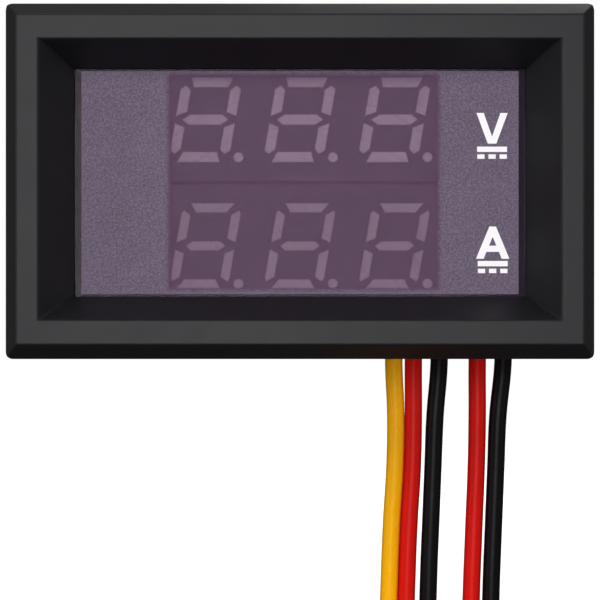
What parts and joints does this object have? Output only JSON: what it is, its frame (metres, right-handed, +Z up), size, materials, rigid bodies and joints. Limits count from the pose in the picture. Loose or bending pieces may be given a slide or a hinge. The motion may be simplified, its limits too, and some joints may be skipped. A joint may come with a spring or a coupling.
{
  "type": "digital panel meter",
  "caption": "Snap-in digital panel meter with stacked seven-segment LED displays for volts and amps behind a smoked window, and free leads at the back.",
  "frame": {"origin": "middle of the flange's back plane, which seats on the panel", "axes": "+Y into the panel and out of the back of the meter, +X to the right and +Z up as the meter is read"},
  "size_m": [0.048, 0.0388, 0.09],
  "materials": {
    "housing_plastic": "fine satin moulded black",
    "smoked_window": "smoked violet acrylic, polished",
    "legend_film": "matt printed film with a fine grain",
    "display_shell": "matt dark face",
    "light_guide": "milky cast resin",
    "led_die": "bare chip",
    "display_base": "glass epoxy laminate",
    "tinned_metal": "bright tin plate and solder",
    "circuit_board": "green solder mask",
    "package_plastic": "black moulding compound",
    "tantalum_resin": "moulded yellow resin",
    "ceramic_chip": "fired ceramic",
    "resistor_chip": "glazed black",
    "shunt_wire": "drawn manganin rod",
    "trimmer_base": "moulded blue",
    "trimmer_rotor": "stamped brass",
    "connector_plastic": "natural ivory nylon",
    "contact_metal": "tinned brass",
    "yellow_insulation": "soft vinyl",
    "red_insulation": "soft vinyl",
    "black_insulation": "soft vinyl",
    "hank_vinyl": "bundle of soft vinyl leads",
    "tie_nylon": "black nylon"
  },
  "bodies": {
    "meter": {"housing": "housing_plastic", "filter_window": "smoked_window", "legend_film": "legend_film", "upper_display_shell": "display_shell", "upper_display_guides": "light_guide", "upper_display_dice": "led_die", "upper_display_base": "display_base", "upper_display_pins": "tinned_metal", "lower_display_shell": "display_shell", "lower_display_guides": "light_guide", "lower_display_dice": "led_die", "lower_display_base": "display_base", "lower_display_pins": "tinned_metal", "circuit_board": "circuit_board", "controller_body": "package_plastic", "controller_leads": "tinned_metal", "amplifier_body": "package_plastic", "amplifier_leads": "tinned_metal", "regulator_body": "package_plastic", "regulator_leads": "tinned_metal", "diode_body": "package_plastic", "diode_leads": "tinned_metal", "tantalum_capacitor": "tantalum_resin", "tantalum_leads": "tinned_metal", "ceramic_capacitors": "ceramic_chip", "chip_resistors": "resistor_chip", "chip_end_caps": "tinned_metal", "current_shunt": "shunt_wire", "volt_trimmer_base": "trimmer_base", "volt_trimmer_terminals": "tinned_metal", "amp_trimmer_base": "trimmer_base", "amp_trimmer_terminals": "tinned_metal", "power_header": "connector_plastic", "power_header_pins": "tinned_metal", "power_plug": "connector_plastic", "power_contacts": "contact_metal", "current_header": "connector_plastic", "current_header_pins": "tinned_metal", "current_plug": "connector_plastic", "current_contacts": "contact_metal", "volt_sense_lead": "yellow_insulation", "power_plus_lead": "red_insulation", "power_minus_lead": "black_insulation", "current_plus_lead": "red_insulation", "current_minus_lead": "black_insulation", "lead_conductors": "tinned_metal", "lead_hank": "hank_vinyl", "hank_tie": "tie_nylon"},
    "volt_rotor": {"volt_trimmer_rotor": "trimmer_rotor"},
    "amp_rotor": {"amp_trimmer_rotor": "trimmer_rotor"}
  },
  "joints": [
    {"name": "volt_trim_turn", "type": "hinge", "parent": "meter", "child": "volt_rotor", "pos_m": [-0.0095, 0.0099, 0.0081], "axis": [0, 1, 0], "range_deg": [-130, 130]},
    {"name": "amp_trim_turn", "type": "hinge", "parent": "meter", "child": "amp_rotor", "pos_m": [-0.0095, 0.0099, 0.0024], "axis": [0, 1, 0], "range_deg": [-130, 130]}
  ]
}
